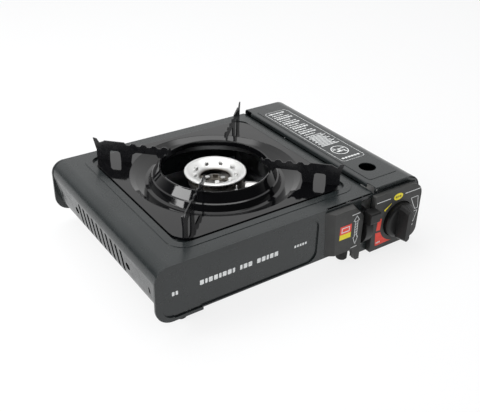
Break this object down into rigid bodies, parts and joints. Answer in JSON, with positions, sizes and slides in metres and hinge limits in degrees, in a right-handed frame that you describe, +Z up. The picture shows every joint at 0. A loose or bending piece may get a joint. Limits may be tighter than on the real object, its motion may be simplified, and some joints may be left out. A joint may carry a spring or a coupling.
{
  "type": "butane cassette stove",
  "caption": "Portable gas stove with a lift-off drip pan and supports, hinged lid over the cartridge bay, turning knob and cartridge lever.",
  "frame": {"origin": "on the floor, under the middle of the bounding box", "axes": "+X to the right along the front, towards the cartridge lid; +Y from the front to the back; +Z up"},
  "size_m": [0.34, 0.274, 0.1079],
  "materials": {
    "enamelled_shell": "satin black powder coat",
    "gloss_enamel": "mirror gloss black enamel",
    "black_plastic": "fine grained black moulding",
    "lever_plastic": "fine grained black moulding",
    "galvanised": "galvanised sheet",
    "plated_steel": "zinc plated",
    "cap_metal": "satin pressed",
    "cast_alloy": "as cast",
    "dark_port_steel": "heat darkened",
    "brass": "machined",
    "ceramic": "glazed ceramic",
    "rubber": "matte"
  },
  "bodies": {
    "stove": {"back_panel": "enamelled_shell", "base_screws": "plated_steel", "base_tray": "galvanised", "body_shell": "enamelled_shell", "burner_body": "cast_alloy", "burner_cap": "cap_metal", "burner_gasket": "brass", "burner_port_ring": "dark_port_steel", "burner_screws": "plated_steel", "burner_stand": "plated_steel", "burner_strap": "plated_steel", "carriage_guide_back": "plated_steel", "carriage_guide_front": "plated_steel", "cartridge_tray": "enamelled_shell", "control_frame": "enamelled_shell", "electrode": "ceramic", "electrode_bracket": "plated_steel", "foot_back_left": "rubber", "foot_back_right": "rubber", "foot_front_left": "rubber", "foot_front_right": "rubber", "front_panel": "enamelled_shell", "gas_jet": "brass", "knob_panel": "black_plastic", "lever_bracket": "plated_steel", "lever_cover": "black_plastic", "lever_pivot_pin": "plated_steel", "lid_hinge_bracket_back": "enamelled_shell", "lid_hinge_bracket_front": "enamelled_shell", "lid_hinge_pin_back": "plated_steel", "lid_hinge_pin_front": "plated_steel", "mixing_tube": "plated_steel", "partition_wall": "galvanised", "piezo_unit": "black_plastic", "regulator_body": "cast_alloy", "regulator_bracket": "plated_steel", "regulator_screws": "plated_steel"},
    "drip_pan": {"drip_pan": "gloss_enamel", "pan_support_front_left": "enamelled_shell", "pan_support_front_right": "enamelled_shell", "pan_support_back_left": "enamelled_shell", "pan_support_back_right": "enamelled_shell"},
    "lid": {"lid": "enamelled_shell"},
    "knob": {"knob": "black_plastic", "knob_shaft": "plated_steel"},
    "lever": {"lever": "lever_plastic", "lever_crank_pin": "plated_steel"},
    "carriage": {"carriage": "plated_steel", "carriage_push_plate": "plated_steel"}
  },
  "joints": [
    {"name": "pan_lift", "type": "slide", "parent": "stove", "child": "drip_pan", "axis": [0, 0, 1], "range_m": [0, 0.06]},
    {"name": "lid_hinge", "type": "hinge", "parent": "stove", "child": "lid", "pos_m": [0.1024, 0, 0.082], "axis": [0, -1, 0], "range_deg": [0, 100]},
    {"name": "knob_turn", "type": "hinge", "parent": "stove", "child": "knob", "pos_m": [0.135, 0, 0.039], "axis": [0, -1, 0], "range_deg": [0, 135]},
    {"name": "lever_turn", "type": "hinge", "parent": "stove", "child": "lever", "pos_m": [0.088, -0.103, 0.04], "axis": [1, 0, 0], "range_deg": [0, 60]},
    {"name": "carriage_slide", "type": "slide", "parent": "stove", "child": "carriage", "axis": [0, -1, 0], "range_m": [0, 0.0091]}
  ],
  "couplings": [
    {"joint": "carriage_slide", "follows": "lever_turn", "m_per_rad": 0.0085944}
  ]
}
